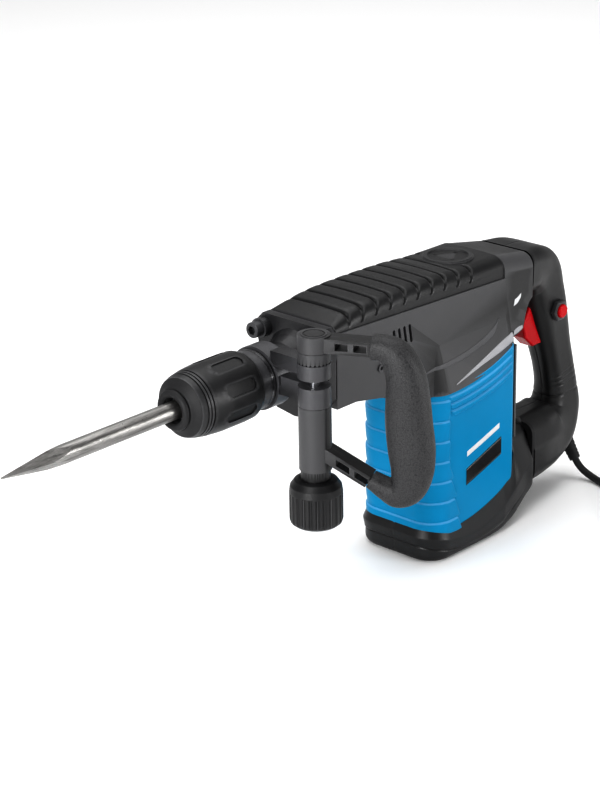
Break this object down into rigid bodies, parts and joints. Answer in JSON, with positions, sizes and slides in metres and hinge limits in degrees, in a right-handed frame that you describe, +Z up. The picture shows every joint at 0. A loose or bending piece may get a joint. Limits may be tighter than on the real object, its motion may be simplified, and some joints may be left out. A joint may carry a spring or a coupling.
{
  "type": "electric demolition hammer",
  "caption": "L-shaped electric demolition hammer with pointed chisel, fluted chuck, D-shaped side handle, ribbed top cover, upright blue motor housing and rear handle with mains lead.",
  "frame": {"origin": "middle of the flat foot under the motor housing, below the striking axis", "axes": "+X from the chisel to the rear handle, -Y the operator's left side with the side handle, +Z up"},
  "size_m": [0.8755, 0.323, 0.3259],
  "materials": {
    "chisel_steel": "forged, satin",
    "tool_steel": "ground",
    "bright_ring": "ground",
    "black_rubber": "matte moulded",
    "soft_grip": "fine grained soft grip",
    "black_plastic": "satin moulded, fine grain",
    "blue_plastic": "satin moulded",
    "red_plastic": "smooth gloss",
    "black_metal": "satin black coating",
    "bare_aluminium": "die cast",
    "laminations": "stacked sheet",
    "copper": "enamelled copper",
    "brass": "drawn",
    "carbon": "pressed carbon",
    "spring_steel": "drawn wire"
  },
  "bodies": {
    "body": {"barrel_housing": "black_metal", "base_cap": "black_plastic", "base_screws": "tool_steel", "brush_holders": "brass", "carbon_brushes": "carbon", "casing_screws": "black_metal", "chuck_circlip": "bright_ring", "chuck_ring": "black_metal", "cord_coil": "black_rubber", "crank_bearings": "tool_steel", "crank_cap": "black_plastic", "crank_case": "bare_aluminium", "cylinder": "tool_steel", "dust_cap": "black_rubber", "field_coils": "copper", "flange_gasket": "black_rubber", "front_bolts": "black_metal", "gear_housing": "black_plastic", "handle_isolators": "black_rubber", "handle_left": "black_plastic", "handle_right": "black_plastic", "lock_bezel": "black_plastic", "locking_bodies": "tool_steel", "mains_cord": "black_rubber", "motor_bearings": "tool_steel", "motor_housing": "blue_plastic", "plug": "black_rubber", "rear_cover": "black_plastic", "rear_spine": "black_plastic", "sleeve_spring": "spring_steel", "stator": "laminations", "strain_relief": "black_rubber", "switch_block": "black_plastic", "tool_holder": "tool_steel", "top_cover": "black_plastic"},
    "chisel": {"chisel": "chisel_steel"},
    "sleeve": {"locking_sleeve": "black_plastic"},
    "impact_bolt": {"impact_bolt": "tool_steel"},
    "striker": {"striker": "tool_steel"},
    "piston": {"piston": "bare_aluminium", "piston_seal": "black_rubber", "wrist_pin": "tool_steel"},
    "rod": {"connecting_rod": "bare_aluminium"},
    "crank": {"crankshaft": "tool_steel", "crank_gear": "tool_steel"},
    "armature": {"armature_shaft": "tool_steel", "armature_core": "laminations", "armature_windings": "copper", "commutator": "copper", "motor_fan": "black_plastic"},
    "trigger": {"trigger": "red_plastic"},
    "lock_button": {"lock_button": "red_plastic"},
    "clamp": {"clamp_upper": "black_metal", "clamp_lower": "black_metal", "clamp_spacer": "black_plastic"},
    "side_handle": {"handle_bracket": "black_plastic", "side_grip": "soft_grip", "column_disc": "black_plastic", "clamp_rod": "tool_steel"},
    "knob": {"handle_knob": "black_plastic"}
  },
  "joints": [
    {"name": "chisel_slide", "type": "slide", "parent": "body", "child": "chisel", "axis": [1, 0, 0], "range_m": [0, 0.008]},
    {"name": "sleeve_release", "type": "slide", "parent": "body", "child": "sleeve", "axis": [1, 0, 0], "range_m": [0, 0.01], "stiffness_N_per_m": 900, "springref_m": -0.006, "deforming": ["sleeve_spring"]},
    {"name": "impact_bolt_slide", "type": "slide", "parent": "body", "child": "impact_bolt", "axis": [-1, 0, 0], "range_m": [0, 0.005]},
    {"name": "striker_slide", "type": "slide", "parent": "body", "child": "striker", "axis": [1, 0, 0], "range_m": [0, 0.038]},
    {"name": "piston_slide", "type": "slide", "parent": "body", "child": "piston", "axis": [-1, 0, 0], "range_m": [0, 0.026]},
    {"name": "rod_swing", "type": "hinge", "parent": "piston", "child": "rod", "pos_m": [-0.035, 0, 0.258], "axis": [0, 0, 1], "range_deg": [-12, 12]},
    {"name": "motor_spin", "type": "hinge", "parent": "body", "child": "armature", "pos_m": [-0.025, 0, 0.1], "axis": [0, 0, 1], "continuous": true},
    {"name": "crank_spin", "type": "hinge", "parent": "body", "child": "crank", "pos_m": [0.014, 0, 0.258], "axis": [0, 0, 1], "continuous": true},
    {"name": "trigger_pull", "type": "slide", "parent": "body", "child": "trigger", "axis": [1, 0, 0], "range_m": [0, 0.006], "stiffness_N_per_m": 900, "springref_m": -0.004},
    {"name": "lock_button_press", "type": "slide", "parent": "body", "child": "lock_button", "axis": [0, 1, 0], "range_m": [0, 0.003], "stiffness_N_per_m": 600, "springref_m": -0.003},
    {"name": "clamp_turn", "type": "hinge", "parent": "body", "child": "clamp", "pos_m": [-0.267, 0, 0.258], "axis": [1, 0, 0], "range_deg": [-90, 90]},
    {"name": "side_handle_swivel", "type": "hinge", "parent": "clamp", "child": "side_handle", "pos_m": [-0.2717, -0.0727, 0.258], "axis": [0, 0, 1], "range_deg": [-60, 40]},
    {"name": "knob_turn", "type": "hinge", "parent": "side_handle", "child": "knob", "pos_m": [-0.2717, -0.0727, 0.258], "axis": [0, 0, 1], "continuous": true}
  ],
  "couplings": [
    {"joint": "crank_spin", "follows": "motor_spin", "ratio": -0.16418}
  ]
}
